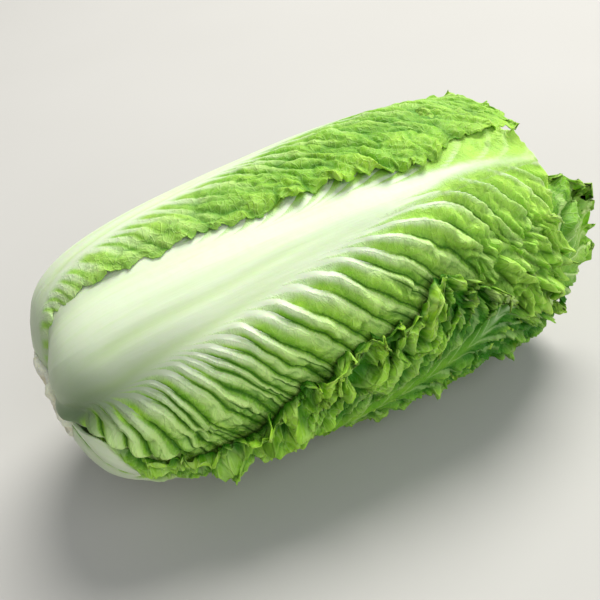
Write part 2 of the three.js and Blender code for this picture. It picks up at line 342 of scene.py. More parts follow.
def veins(a, s, side, seed, phase, c1, c2, bend, pillow, wide, wander, branch=.25):
    """Lateral veins leaving the midrib's edge. a: along the leaf, s: past the rib's edge (mm, negative inside it).
    The veins are rounded ridges with pointed troughs between them; some ridges split further out.
    Gives the ridge's height (0 to 1), how deep in a trough the point is (0 to 1), the ridge's number and its place at the rib."""
    a0 = a
    for _ in range(8):
        k1, k2 = look(c1, a0), look(c2, a0)
        g = np.where(s > 0, k1 * (1 - np.exp(-np.maximum(s, 0) / bend)) + k2 * s, (k1 / bend + k2) * s - .22 * s * s)
        a0 = a - g
    w0 = a0 + wander * (1.3 * noise(a / 26, s / 30, seed) + .5 * noise(a / 9, s / 12, seed + 1))
    ph, ph2 = look(phase, w0), look(phase, w0 + .5)
    width = .5 / np.maximum(ph2 - ph, 1e-6)  # local spacing, mm
    n = np.floor(ph)
    f = ph - n
    m = np.round(ph)
    g = (ph - m) * width  # from the nearest trough, mm
    r1, r2 = _hash(m, side, seed + 5), _hash(m, side + 3, seed + 6)
    open1 = smooth(0, 12, s + 6 - 14 * r1)
    wd = wide(a0)
    cut = open1 * np.exp(-(g / (np.where(g > 0, 1.25, 1.7) * wd * (.75 + .35 * open1) * (.85 + .4 * r2))) ** 2)
    r3, r4 = _hash(n, side, seed + 8), _hash(n, side, seed + 9)
    g2 = (f - .36 - .3 * r4) * width
    open2 = smooth(0, 14, s - 11 - 26 * r3) * (r4 > branch)
    cut = np.maximum(cut, .85 * open2 * np.exp(-(g2 / (wd * np.where(g2 > 0, 1.1, 1.5))) ** 2))
    lines = dict(ph=ph + 40 * (side + 1), pw=width, off2=g2, open1=open1, open2=open2)
    # a narrow ridge on the tip side of each panel; where the veins stand close it takes up the whole panel
    ridge = bump((f * width - width + np.minimum(3.4, .46 * width)) / np.minimum(3.9, .56 * width))
    panel = np.maximum(np.sin(math.pi * f ** 1.2), 0) ** .8
    pw_ = pillow(a0)
    return np.maximum(ridge, pw_ * panel + .38 * ridge), ridge, cut, _hash(n, side, seed + 12), a0, lines


DEFAULT = dict(
    spacing=[(0, 6.4), (60, 8), (100, 9), (140, 10.5), (190, 14), (240, 16), (300, 16)],
    c1=[(0, 5), (150, 5), (190, 9), (240, 14)], c2=[(0, .15), (50, .4), (90, .75), (190, .85), (300, 1.1)], bend=9.0,
    vein=2.4, cut=2.2, reach=[(0, 22), (60, 34), (140, 44), (220, 40), (300, 22)],
    crinkle=1.2, fold=3.0, fscale=1.0, shear=1.6, crumple=[(0, 0), (12, .15), (30, .6), (50, 1)],
    ruffle=(6.0, 5.5, 2.2), ruffle_at=[(0, 1), (400, 1)], tip_ruffle=1.0, young=(8, 40), tuck=1.1, valley=0.0, lobes=4.0, grow=3.0, rib=2.0, columns=[(0, 1.25), (.5, 1.06), (1, .5)], close=0.0, minus_vein=1.0, wave=1.0, aspect=1.0, white=[(0, 1), (1, 1)], fold_at=[(0, 1), (1, 1)], deeper=0.0, start=[(0, .8), (60, 1), (140, 1), (230, .9), (300, .7)], rows=.6, fold_in=None, flare=0.0, rim=0.0, vein_colour=1.0, line=1.0, pillow=[(0, .62), (400, .62)], floor_shade_across=[(-200, 0), (200, 0)], pale_plus=0.0, net=1.0, wander=1.0, shade=.2, wedge=1.0, blister=.3, uneven=.35, wide=[(0, 1), (400, 1)], cut_at=[(0, 1), (400, 1)], minus_rib=[(0, 1), (400, 1)], minus_wedge=1.0, relief_light_and_shade=0.0, top=0.0, tip_at=[(-200, 1), (200, 1)], round=1.0, groove=.7, cords=1.0, out=0.0, tone_and_shade=[(0, 0), (1, 0)], seed=1,
)


def lowest(e, r, c):
    """Lowest value within r rows and c columns."""
    for axis, m in ((0, r), (1, c)):
        out = e.copy()
        for d in range(1, m + 1):
            for sgn in (-d, d):
                sh = np.roll(e, sgn, axis)
                if sgn > 0:
                    sh[(slice(0, sgn),) if axis == 0 else (slice(None), slice(0, sgn))] = 99
                else:
                    sh[(slice(sgn, None),) if axis == 0 else (slice(None), slice(sgn, None))] = 99
                out = np.minimum(out, sh)
        e = out
    return e


def plus(r, soft=.05):
    """Smooth positive part."""
    return .5 * (r + np.sqrt(r * r + soft)) - .5 * math.sqrt(soft) * .5


def leaf_surface(k, nq, npc, spec, step):
    """Outer and inner face of leaf k on a grid of nq x npc points, with the masks its material reads."""
    leaf = LEAVES[k]
    s = dict(DEFAULT)
    s.update(spec)
    seed = s["seed"]

    def tab(name, x):
        return np.interp(x, [v[0] for v in s[name]], [v[1] for v in s[name]])
    # rows, closer together near the tip; columns, closer together near the margins
    t = np.linspace(0, 1, nq)
    w = 1 + s["rows"] * smooth(.5 if s["rows"] > 1 else .78, .8 if s["rows"] > 1 else 1, t)
    qs = np.concatenate([[0], np.cumsum((w[:-1] + w[1:]) ** -1)])
    qs /= qs[-1]
    c = np.linspace(-1, 1, npc)
    w = np.interp(np.abs(c), [v[0] for v in s["columns"]], [v[1] for v in s["columns"]])
    ps = np.concatenate([[0], np.cumsum((w[:-1] + w[1:]) / 2)])
    ps = ps / ps[-1] * 2 - 1
    q, p = np.meshgrid(qs, ps, indexing="ij")
    side = np.where(p < 0, -1.0, 1.0)
    end_mm = LENGTH * leaf["end"]
    a = q * end_mm
    half_mm = half_width(k, side, q)
    ds = (1 - np.abs(p)) * half_mm  # distance to the side margin and to the tip
    dt = (1 - q) * end_mm
    young = smooth(*s["young"], a)  # the leaf's base has no frill

    # lobed, toothed outline: lobes with narrow notches between them
    def lobe(c, sd):
        c = c + 3 * noise(c / 19, c * 0 + sd, seed + 20)
        big = 1 - np.abs(noise(c / 13, c * 0 + sd * 3.7, seed + 21)) ** (.6 * s["round"])
        small = (1 - np.abs(noise(c / 5.2, c * 0 + sd * 5.1, seed + 22)) ** (.6 * s["round"])) / s["round"]
        tiny = (1 - np.abs(noise(c / 2.4, c * 0 + sd * 7.7, seed + 23)) ** .7) / s["round"]
        return s["lobes"] * (.95 * big + .42 * small + .16 * tiny)
    soft = 1.9 * s["lobes"]  # the pull dies away slower than it grows, so the grid never folds over
    pull_side = (lobe(a + 200 * side, side) * np.exp(-ds / soft) - s["grow"] * np.exp(-ds / 16)) * young
    bl = p * half_mm
    pull_tip = lobe(bl + 50, 9) * np.exp(-dt / soft)
    bl = bl - side * pull_side
    pe = bl / half_mm
    qe = (a - pull_tip) / end_mm
    u = along_head(k, qe, pe, bl)
    half = np.minimum(half_width(k, side, qe) / leaf_radius(k, u) / RAD, 120) if k < 8 else np.full_like(u, 90.0)
    phi = leaf["phi"] + pe * half
    u = u * oblique(qe, phi)
    d = depth_over(k, u, phi)
    out, inn, length = ray(u, phi)
    if s["fold_in"]:  # the tip bends in over the head's open end
        reach_in, over = s["fold_in"]
        goal = length * reach_in * (1 + .12 * noise(phi / 21, phi * 0, seed + 15))
        d = d + np.maximum(goal - d, 0) * smooth(over, -2, dt) ** 1.5
    tt = np.minimum(d / length, .985)[..., None]
    S = out * (1 - tt) + inn * tt
    ta, tb, n = grid_axes(S)
    flip = bool(np.mean(np.sum(n * (out - inn), 2)) < 0)
    if flip:
        n = -n

    free = np.ones_like(u)
    for j in range(min(k, 8)):
        free *= 1 - covered(j, u, phi, 9.0)
    if k >= 8:
        free *= 0
    bare = free
    free = np.maximum(free, smooth(34, 4, dt) * (.8 if k < 8 else .9))  # the open end
    loose = .12 + .88 * free
    if k == 3:  # its far side lies smooth under the leaf above
        loose = np.where(side < 0, .04 + .96 * np.maximum(bare, .7 * smooth(26, 6, dt) * smooth(57, 46, np.abs(bl))), loose)

    # ---- the midrib: broad, gently crowned, with a few long grooves
    table = dense(s["rib_half"]) if "rib_half" in s else T["rib"]
    wr = look(table, q) * leaf["width"] * s.get("rib_width", 1.0) * (1 if k < 8 else .8)
    b = bl - (tab("rib_shift", a) if "rib_shift" in s else 0)
    sb = np.abs(b) - wr * np.where(b < 0, tab("minus_rib", a), 1)
    white = tab("white", a)
    rib = smooth(1, -1, sb / np.clip(wr * .5, .6, 2.5)) * white
    e = s["rib"] * bump(b / (wr * 1.25 + 4)) * (1 - .7 * q)
    w_ = b / wr + .05 * noise(a / 60, b / 40, seed + 30)
    groove = sum(g_[1] * np.exp(-((w_ * s["cords"] - g_[0]) / g_[2]) ** 2) * smooth(g_[3], g_[3] + 30, a) * smooth(g_[4], g_[4] - 60, a)
                 for g_ in ((-.5, .3, .1, 20, 160), (.08, .3, .09, 60, 190), (.34, .8, .08, 30, 200), (.56, .55, .06, 90, 240), (.74, .9, .08, 20, 170)))
    groove = rib * np.clip(groove, 0, 1)
    e = e - s["groove"] * groove + .05 * rib * noise(b / 2.2, a / 40, seed + 32)
    e = e - s["valley"] * np.exp(-((sb - 1) / 9) ** 2) * np.where(side > 0, 1, .3) * smooth(4, 18, a) * smooth(110, 30, a)

    # ---- lateral veins
    h, ridge, cut, rnd, a0, lines = veins(a, sb, side, seed + 41, phase_table(s["spacing"], seed + 40), xtable(s["c1"]), xtable(s["c2"]), s["bend"], lambda x: tab("pillow", x), lambda x: tab("wide", x), s["wander"])
    reach0 = np.interp(a0, [v[0] for v in s["reach"]], [v[1] for v in s["reach"]])
    reach = reach0 * (.7 + .6 * rnd)
    into = smooth(-5, 5, sb)
    far, far0 = 1 - smooth(reach * .6, reach * 1.35, sb), 1 - smooth(reach0 * .6, reach0 * 1.35, sb)
    edge_fade = smooth(0, 9, np.minimum(ds, dt))
    start = smooth(10, 36, a0 + 8) * np.interp(a0, [v[0] for v in s["start"]], [v[1] for v in s["start"]])
    va = s["vein"] * into * edge_fade * start * np.where(side < 0, s["minus_vein"], 1)
    e = e + va * far * (.98 + s["uneven"] * (rnd - .5)) * h - .4 * va * far0
    white_edge = smooth(8, 34, a)
    amp_c = into * far0 * edge_fade * np.minimum(start * 1.1, 1) * np.where(side < 0, s["minus_vein"], 1)
    crease = cut * amp_c
    e = e - s["cut"] * crease * tab("cut_at", a)

    # ---- cushions, creases and blisters of the lamina
    lam = smooth(-1, 9, sb)
    crum = lam * (tab("crumple", sb) * smooth(15, 50, a) + s["rim"] * smooth(30, 8, ds) * smooth(60, 120, a) * smooth(10, 50, dt))
    crum = np.minimum(crum, 2.6) * (1 - .45 * smooth(40, 5, dt) * (k < 3))
    wx, wy = noise(a / 17, b / 17, seed + 50), noise(a / 17 + 40, b / 17, seed + 51)
    run = np.maximum(sb, 0)
    C_, D_ = (a0 + 137 * side + 5 * wx) / s["fscale"], (run + 5 * wy) / s["fscale"]
    f1 = np.abs(noise(C_ / 10, D_ / (24 * s["aspect"]), seed + 52)) ** .8
    f2 = np.abs(noise(C_ / 6 + .3 * wy, D_ / 10, seed + 53)) ** .8
    f3 = np.abs(noise((a + 3 * wy) / 4.2, (b + 3 * wx) / 4.2, seed + 56)) ** .85
    net, own, _ = cells(a / 7.2 + .25 * wx, b / 6.4 + .25 * wy, seed + 54)
    net2, own2, _ = cells(a / 3.3, b / 3.1, seed + 55)
    border, border2 = np.exp(-(net / .16) ** 2), np.exp(-(net2 / .2) ** 2)
    e = e + crum * loose * s["fold"] * tab("fold_at", a) * (1.1 * (f1 - .2) + .55 * (f2 - .3) + .2 * (f3 - .3))
    e = e + (.3 + .7 * crum) * lam * loose * s["crinkle"] * (.62 * border + .22 * border2 - .3 + .25 * (own - .5))
    sh1 = crum * loose * s["shear"] * noise(C_ / 8.5, D_ / 12, seed + 57)
    sh2 = crum * loose * s["shear"] * noise(C_ / 8.5 + 9, D_ / 12, seed + 58)
    e = e * np.where(e > 0, loose, 1)

    # ---- ruffled margin: lobes stand up off the leaf beneath, curl back and lean along the margin
    A1, A2, A3 = s["ruffle"]

    def frill(c, dist, sd):
        c = c + 4 * noise(c / 22, dist / 25, seed + 60 + sd)
        r1 = noise(c / (17 * s["wave"]), dist / 50, seed + 61 + sd)
        r2 = noise(c / (7.5 * s["wave"]), dist / 26, seed + 62 + sd)
        r3 = noise(c / 3.2, dist / 12, seed + 63 + sd)
        env = .8 + .6 * noise(c / 40, c * 0, seed + 64 + sd)
        k1, k2, k3 = np.exp(-(dist / 22) ** 1.4), np.exp(-(dist / 11) ** 1.4), np.exp(-(dist / 5) ** 1.4)
        up = env * (A1 * plus(r1 + .05) * k1 + A2 * plus(r2 + .1) * k2 + A3 * plus(r3 + .1) * k3)
        along = env * (A2 * .8 * noise(c / (7.5 * s["wave"]) + .3, dist / 26, seed + 62 + sd) * k2 + A3 * .8 * noise(c / 3.2 + .3, dist / 12, seed + 63 + sd) * k3)
        across = -env * (A2 * .55 * plus(r2) * k2 + A3 * .5 * plus(r3) * k3 + A1 * .3 * plus(r1) * k1)
        return up, along, across
    us, als, acs = frill(.5 * (a + a0) + 137 * side, ds, 5)
    ut, alt, act = frill(bl + 400, dt, 11)
    ws, wt = young / (ds + 1.0) ** 2, 1 / (dt + 1.0) ** 2
    sw = ws + wt + 1e-9
    mrg = loose if k >= 4 else np.where(side < 0, loose, 1.0) if k == 3 else 1.0
    amp = tab("ruffle_at", a) * young
    e = e + (us * amp * ws + ut * wt * s["tip_ruffle"] * tab("tip_at", bl)) / sw * mrg - s["tuck"] * np.exp(-np.minimum(ds, dt) / 7) * smooth(8, 40, dt)
    s_al, s_ac = als * amp * ws / sw * mrg + sh1, acs * amp * ws / sw * mrg
    t_al, t_ac = alt * wt / sw * mrg * s["tip_ruffle"] + sh2, act * wt / sw * mrg * s["tip_ruffle"] * tab("tip_at", bl)

    if s["close"]:
        cov = covered(k - 1, u, phi, 11.0)
        e = e + s["close"] * 4 * cov * (1 - cov) * smooth(-10, 12, a) * smooth(90, 50, a)
    window = smooth(-48, -24, bl) * smooth(40, 16, bl)
    e = e + s["flare"] * smooth(26, 0, dt) * window
    e = np.maximum(e, -(.8 + .9 * free + s["deeper"] * smooth(95, 45, a)))
    t_ac = t_ac + s["out"] * smooth(26, 0, dt) * window
    shift = ta * (s_al + t_ac)[..., None] + tb * (side * s_ac + t_al)[..., None]
    O = S + n * e[..., None] + shift
    _, _, n2 = grid_axes(O)
    if flip:
        n2 = -n2
    nn = n2 * .8 + n * .2
    nn /= np.linalg.norm(nn, axis=2, keepdims=True)
    dm = np.minimum(ds, dt)
    thick = .5 + .5 * smooth(2, 16, dm)
    thick = thick + look(T["thick"], q) * rib_scale(k) * bump(b / (wr * 1.1)) * .95
    floor_z = -OFFSET[2]
    O[..., 2] = np.maximum(O[..., 2], floor_z + .02)
    over = -O[..., 1] - 85  # keep the frill within the head's width
    O[..., 1] = np.where(over > 0, -85 - 4.4 * np.tanh(over / 4.4), O[..., 1])
    # away from the margins the inner face has fewer columns, so it passes under the creases
    I = O - nn * thick[..., None]
    low = lowest(e, 2, step)
    deep = S + n * (low - thick)[..., None] + shift * .5
    wI = smooth(9, 18, dm)[..., None]
    I = I * (1 - wI) + deep * wI
    I[..., 2] = np.maximum(I[..., 2], np.where(O[..., 2] < floor_z + .5, O[..., 2] + .4, floor_z + .3))
    # the creases and the bottoms of the folds are painted deeper green: partly the leaf's own deeper green there,
    # partly painted shade
    crease_tint_and_shade = np.clip(.45 * crease + crum * .8 * np.exp(-(f1 / .16) ** 2) + crum * .5 * np.exp(-(f2 / .16) ** 2), 0, 1)
    attrs = dict(
        rib=rib, groove=groove, vein=np.clip((.5 * ridge + .5 * h) * into * (.2 + .8 * far) * (1 - .8 * crease) * s["vein_colour"], 0, 1), crease_tint_and_shade=crease_tint_and_shade,
        ph=lines["ph"], pw=lines["pw"], off2=np.clip(lines["off2"], -9, 9), line1=lines["open1"] * amp_c * s["line"], line2=lines["open2"] * amp_c * s["line"],
        cord=np.clip(smooth(-6, 2, sb) * (.15 + .85 * far) * start * s["vein_colour"] * np.where(side < 0, s["minus_vein"], 1), 0, 1),
        edge=np.exp(-dm / 9) * white_edge, shade=s["shade"] * np.exp(-(np.maximum(np.abs(sb - 1) - 4, 0) / np.where(sb < 1, 15, 8)) ** 2) * np.where(side > 0, 1, .2) * smooth(-4, 4, a) * smooth(110, 20, a), net=np.clip((border * .8 + .4 * border2) * lam * s["net"], 0, 1),
        blis=np.clip(crum * s["blister"], 0, 1), sbm=np.clip(sb, -30, 60), white=white, wedge=np.clip(s["wedge"] * start * 1.3 * np.where(side < 0, s["minus_wedge"] * (smooth(90, 125, a) * smooth(245, 215, a) if k == 3 else 1), 1) * smooth(30, 60, a), 0, 1),
        # painted shade on the front leaf towards its midrib, which lies near the floor, and painted light and shade by
        # height: raised cushions lighter, low gaps darker
        past=np.clip(np.maximum(sb / 60, (1 - white) * .3), 0, 1), pale=np.clip((tab("pale", a) * np.where(side > 0, s["pale_plus"], 1) if "pale" in s else 0 * a) + s["top"] * np.clip(h, 0, 1) ** 1.5 * into * start * (side > 0) * smooth(75, 30, sb), 0, 1), along=q, tone_and_shade=np.clip(tab("tone_and_shade", q) + tab("floor_shade_across", bl) * smooth(40, 90, a) - s["relief_light_and_shade"] * lam * np.clip((e - 2.2) / 3.2, -1, 1), -1, 1),
        leafco=np.stack([a / 10, b / 10, np.full_like(a, k * 3.7)], -1),
    )
    return O, I, attrs, flip


def finish_leaf(k, nq, npc, spec, material):
    step = 5 if npc > 80 else 2
    O, I, attrs, flip = leaf_surface(k, nq, npc, spec, step)
    cols = np.arange(npc)
    rim = max(int(npc * .14), 3)
    kept = np.unique(np.concatenate([cols[:rim], cols[rim:npc - rim:step], cols[npc - rim:]]))  # inner face, away from the tip
    js = int(nq * .88)  # from this row on the inner face has every column
    no = nq * npc
    verts = np.concatenate([O.reshape(-1, 3), I[:js, kept].reshape(-1, 3), I[js:].reshape(-1, 3)])

    def both(v):
        tail = v.shape[2:]
        return np.concatenate([v.reshape((-1,) + tail), v[:js, kept].reshape((-1,) + tail), v[js:].reshape((-1,) + tail)])
    vals = {key: both(v) for key, v in attrs.items()}
    vals["inner"] = np.concatenate([np.zeros(no), np.ones(len(verts) - no)])
    vo = np.arange(no).reshape(nq, npc)
    vi = no + np.arange(js * len(kept)).reshape(js, len(kept))
    vf = no + js * len(kept) + np.arange((nq - js) * npc).reshape(nq - js, npc)
    U_ = np.linspace(.01, .99, nq)
    uvo = np.stack(np.meshgrid(U_, np.linspace(.01, .66, npc), indexing="ij"), -1)
    uvi = np.stack(np.meshgrid(U_[:js], .72 + kept / (npc - 1) * .27, indexing="ij"), -1)
    uvf = np.stack(np.meshgrid(U_[js:], .72 + cols / (npc - 1) * .27, indexing="ij"), -1)
    Q4, UQ, Q3, UT = [], [], [], []

    def quads(v, uv, rev):
        qd = np.stack([v[:-1, :-1], v[:-1, 1:], v[1:, 1:], v[1:, :-1]], -1).reshape(-1, 4)
        ud = np.stack([uv[:-1, :-1], uv[:-1, 1:], uv[1:, 1:], uv[1:, :-1]], -2).reshape(-1, 4, 2)
        Q4.append(qd[:, ::-1] if rev else qd)
        UQ.append(ud[:, ::-1] if rev else ud)

    def strip(va, vb, ua, ub, rev):
        quads(np.stack([va, vb]), np.stack([ua, ub]), rev)

    def fan(fine, coarse, uf, uc, rev):
        """Joins a row of every column to a row of the kept columns."""
        for m in range(len(kept) - 1):
            i0, i1 = kept[m], kept[m + 1]
            h_ = (i0 + i1) // 2
            for i in range(i0, i1):
                if i == h_:
                    f4, u4 = [fine[i], fine[i + 1], coarse[m + 1], coarse[m]], [uf[i], uf[i + 1], uc[m + 1], uc[m]]
                    Q4.append(np.array([f4[::-1] if rev else f4]))
                    UQ.append(np.array([u4[::-1] if rev else u4]))
                else:
                    g = m if i < h_ else m + 1
                    f3, u3 = [fine[i], fine[i + 1], coarse[g]], [uf[i], uf[i + 1], uc[g]]
                    Q3.append(f3[::-1] if rev else f3)
                    UT.append(u3[::-1] if rev else u3)
    quads(vo, uvo, False)
    quads(vi, uvi, True)
    quads(vf, uvf, True)
    fan(vf[0], vi[-1], uvf[0], uvi[-1], False)
    # rims: base, tip, and the two sides
    line = lambda m, v0: np.stack([np.linspace(.01, .99, m), np.full(m, v0)], -1)
    fan(vo[0], vi[0], line(npc, .694), line(len(kept), .702), True)
    strip(vo[-1], vf[-1], line(npc, .706), line(npc, .714), False)
    inner0, inner1 = np.concatenate([vi[:, 0], vf[:, 0]]), np.concatenate([vi[:, -1], vf[:, -1]])
    strip(vo[:, 0], inner0, line(nq, .670), line(nq, .678), False)
    strip(vo[:, -1], inner1, line(nq, .682), line(nq, .690), True)
    q4, u4 = np.concatenate(Q4), np.concatenate(UQ)
    q3, u3 = (np.array(Q3), np.array(UT)) if Q3 else (np.zeros((0, 3), int), np.zeros((0, 3, 2)))
    if not flip:  # the faces were laid out facing tb x ta; turn them round if that points inwards
        q4, u4, q3, u3 = q4[:, ::-1], u4[:, ::-1], q3[:, ::-1], u3[:, ::-1]
    loops = np.concatenate([q4.ravel(), q3.ravel()])
    lens = np.concatenate([np.full(len(q4), 4), np.full(len(q3), 3)]).astype(np.int32)
    uvl = np.concatenate([u4.reshape(-1, 2), u3.reshape(-1, 2)])
    ob = raw_mesh(LEAVES[k]["name"] + "_leaf", verts, loops, lens, uvl, vals, material)
    return ob


# ------------------------------------------------------------------ materials
class Tree:
    """Short calls for building a node tree."""

    def __init__(self, name):
        self.mat = bpy.data.materials.new(name)
        self.mat.use_nodes = True
        self.nt = self.mat.node_tree
        self.nt.nodes.clear()

    def add(self, kind, **props):
        node = self.nt.nodes.new(kind)
        for key, val in props.items():
            setattr(node, key, val)
        return node

    def put(self, socket, value):
        if isinstance(value, bpy.types.NodeSocket):
            self.nt.links.new(value, socket)
        elif value is not None:
            socket.default_value = value

    def attr(self, name, out="Fac"):
        return self.add("ShaderNodeAttribute", attribute_name=name).outputs[out]

    def math(self, op, a, b=None, c=None, clamp=False):
        node = self.add("ShaderNodeMath", operation=op, use_clamp=clamp)
        for i, v in enumerate((a, b, c)):
            if v is not None:
                self.put(node.inputs[i], v)
        return node.outputs[0]

    def mix(self, fac, a, b, blend="MIX"):
        node = self.add("ShaderNodeMix", data_type="RGBA", blend_type=blend)
        self.put(node.inputs[0], fac)
        self.put(node.inputs[6], a)
        self.put(node.inputs[7], b)
        return node.outputs[2]

    def ramp(self, fac, stops, interp="LINEAR"):
        node = self.add("ShaderNodeValToRGB")
        node.color_ramp.interpolation = interp
        el = node.color_ramp.elements
        while len(el) < len(stops):
            el.new(.5)
        for e_, (pos, col) in zip(el, stops):
            e_.position = pos
            e_.color = col if len(col) == 4 else (*col, 1)
        self.put(node.inputs[0], fac)
        return node.outputs[0]

    def noise(self, vec, scale, detail=3, rough=.5, dist=0, dims="3D"):
        node = self.add("ShaderNodeTexNoise", noise_dimensions=dims)
        self.put(node.inputs["Vector"], vec)
        node.inputs["Scale"].default_value = scale
        node.inputs["Detail"].default_value = detail
        node.inputs["Roughness"].default_value = rough
        node.inputs["Distortion"].default_value = dist
        return node.outputs[0]

    def remap(self, x, a, b, c=0.0, d=1.0):
        node = self.add("ShaderNodeMapRange", interpolation_type="SMOOTHSTEP")
        self.put(node.inputs[0], x)
        for i, v in enumerate((a, b, c, d)):
            node.inputs[i + 1].default_value = v
        return node.outputs[0]


def srgb(r, g, b):
    def f_(c):
        c /= 255
        return c / 12.92 if c <= .04045 else ((c + .055) / 1.055) ** 2.4
    return (f_(r), f_(g), f_(b), 1)


def leaf_material(name, light, mid, deep, edge, rib, vein, sss=.25):
    t = Tree(name)
    co = t.attr("leafco", "Vector")
    A = {key: t.attr(key) for key in ("rib", "groove", "vein", "crease_tint_and_shade", "edge", "net", "past", "along", "tone_and_shade", "pale", "inner", "shade", "ph", "pw", "off2", "line1", "line2", "cord", "sbm", "white", "wedge", "blis")}
    big = t.noise(co, .55, 2)
    med = t.noise(co, 2.1, 3, .6)
    fine = t.noise(co, 9.0, 3, .6)
    # the net of small veins
    vor = t.add("ShaderNodeTexVoronoi", feature="DISTANCE_TO_EDGE", voronoi_dimensions="3D")
    warped = t.add("ShaderNodeVectorMath", operation="MULTIPLY_ADD")
    nz = t.add("ShaderNodeTexNoise")
    t.put(nz.inputs["Vector"], co)
    nz.inputs["Scale"].default_value = 1.6
    t.put(warped.inputs[0], nz.outputs["Color"])
    warped.inputs[1].default_value = (.35, .35, 0)
    t.put(warped.inputs[2], co)
    t.put(vor.inputs["Vector"], warped.outputs[0])
    vor.inputs["Scale"].default_value = 2.6
    net = t.remap(vor.outputs["Distance"], .10, .01)
    vor2 = t.add("ShaderNodeTexVoronoi", feature="DISTANCE_TO_EDGE", voronoi_dimensions="3D")
    t.put(vor2.inputs["Vector"], warped.outputs[0])
    vor2.inputs["Scale"].default_value = 6.5
    net2 = t.remap(vor2.outputs["Distance"], .12, .02)

    # veins and the sharp creases between them, drawn from the vein number so that they stay crisp; the crease lines are
    # painted dark as painted shade
    wob = t.math("MULTIPLY_ADD", fine, .12, t.math("ADD", A["ph"], -.06))
    d1 = t.math("MULTIPLY", t.math("SUBTRACT", wob, t.math("ROUND", wob)), A["pw"])
    ad = t.math("ABSOLUTE", d1)
    line1 = t.math("MULTIPLY", t.remap(ad, .75, .1), A["line1"])
    line2 = t.math("MULTIPLY", t.remap(t.math("ABSOLUTE", A["off2"]), .65, .1), A["line2"])
    line = t.math("MAXIMUM", line1, line2)
    place = t.math("MULTIPLY", t.math("MINIMUM", t.math("MULTIPLY", A["pw"], .3), 2.0), -1.0)
    half = t.math("MULTIPLY", t.remap(A["past"], 0, .9, 1.75, .65), t.math("MINIMUM", t.math("MULTIPLY", A["pw"], .13), 1.0))
    cord = t.math("SUBTRACT", 1.0, t.math("DIVIDE", t.math("ABSOLUTE", t.math("SUBTRACT", d1, place)), half), clamp=True)
    cord = t.math("MULTIPLY", t.remap(cord, 0, .55), A["cord"])
    # painted shade: one side of each crease is painted darker
    crease_shade_side = t.math("MULTIPLY", t.math("MULTIPLY", t.remap(d1, 3.4, .2), t.math("GREATER_THAN", d1, 0.0)), A["line1"])

    # the white of the rib runs out along each vein and the green reaches in between them
    f = t.math("FRACT", wob)
    reach = t.math("MULTIPLY_ADD", t.math("POWER", f, 1.7), 12.5, -4.0)
    reach = t.math("MULTIPLY", reach, A["wedge"])
    past_ = t.math("SUBTRACT", A["sbm"], reach)
    spread = t.math("MULTIPLY_ADD", t.noise(co, 3.0, 3, .6), 2.4, -1.2)
    rib_ = t.math("MULTIPLY", t.remap(t.math("ADD", past_, spread), 2.4, -2.4), A["white"])

    base = t.mix(t.remap(big, .35, .68), mid, light)
    base = t.mix(t.math("MULTIPLY", t.remap(med, .42, .7), .35), base, deep)
    base = t.mix(t.math("MULTIPLY", t.remap(fine, .4, .75), .2), base, light)
    base = t.mix(t.math("MULTIPLY", A["edge"], .7), base, edge)
    inside = t.math("MULTIPLY", t.remap(vor.outputs["Distance"], .08, .3), t.remap(big, .3, .6, .4, 1))
    base = t.mix(t.math("MULTIPLY", t.math("MULTIPLY", inside, A["blis"]), .5), base, deep)
    base = t.mix(t.math("MULTIPLY", net, t.math("MULTIPLY_ADD", A["blis"], .34, .12)), base, vein)
    base = t.mix(t.math("MULTIPLY", net2, t.math("MULTIPLY_ADD", A["blis"], .14, .07)), base, vein)
    base = t.mix(t.math("MULTIPLY", A["net"], .38), base, t.mix(.4, light, vein))
    # darker or lighter green by place: partly the leaves' own colour, partly painted shade on the lower leaves and
    # painted light on the top leaf's far wing
    base = t.mix(t.math("MAXIMUM", A["tone_and_shade"], 0.0), base, deep)
    base = t.mix(t.math("MAXIMUM", t.math("MULTIPLY", A["tone_and_shade"], -1.0), 0.0), base, light)
    # pale: paler green where the leaf is paler, plus a painted highlight on the crests of the top leaf's cushions (the
    # 'top' term)
    base = t.mix(t.math("MULTIPLY", A["pale"], .5), base, vein)
    white = t.mix(t.math("MULTIPLY", t.remap(med, .45, .75), .08), rib, vein)
    along_ = t.add("ShaderNodeVectorMath", operation="MULTIPLY")
    t.put(along_.inputs[0], co)
    along_.inputs[1].default_value = (.11, 2.6, 1)
    streak = t.noise(along_.outputs[0], 1.5, 4, .65)
    white = t.mix(t.math("MULTIPLY", t.remap(streak, .5, .72), .22), white, vein)
    white = t.mix(t.math("MULTIPLY", A["groove"], .5), white, vein)
    white = t.mix(t.remap(A["along"], .38, .72, 0, .5), white, srgb(200, 220, 180))
    white = t.mix(t.remap(A["along"], .8, 1.0, 0, .6), white, vein)
    # painted shade: the rib is painted grey-green towards its base end, and darker where the shade mask lies along its
    # lower edge
    white = t.mix(t.remap(A["along"], .16, .02, 0, .45), white, srgb(176, 196, 150))
    white = t.mix(t.math("MULTIPLY", A["shade"], .9), white, srgb(96, 118, 80))
    vcol = t.mix(t.remap(A["past"], .0, .4), white, vein)
    vcol = t.mix(t.remap(A["past"], .4, 1.0, 0, .6), vcol, light)
    base = t.mix(t.math("MULTIPLY", t.remap(A["past"], .0, .08, .55, 0), t.remap(A["along"], .5, .75, 1, .2)), base, vcol)
    tipwards = t.remap(A["along"], .72, .95, 1, .5)
    base = t.mix(t.math("MULTIPLY", t.math("MULTIPLY", t.remap(A["vein"], .1, .9), tipwards), t.remap(A["past"], .02, .7, .8, .22)), base, vcol)
    # partly the leaf's own deeper green in its creases, partly painted shade there
    base = t.mix(t.math("MULTIPLY", A["crease_tint_and_shade"], .7), base, deep)
    # painted shade beside the creases
    base = t.mix(t.math("MULTIPLY", crease_shade_side, .32), base, deep)
    base = t.mix(t.math("MULTIPLY", cord, t.remap(A["past"], .1, 1.0, .95, .55)), base, vcol)
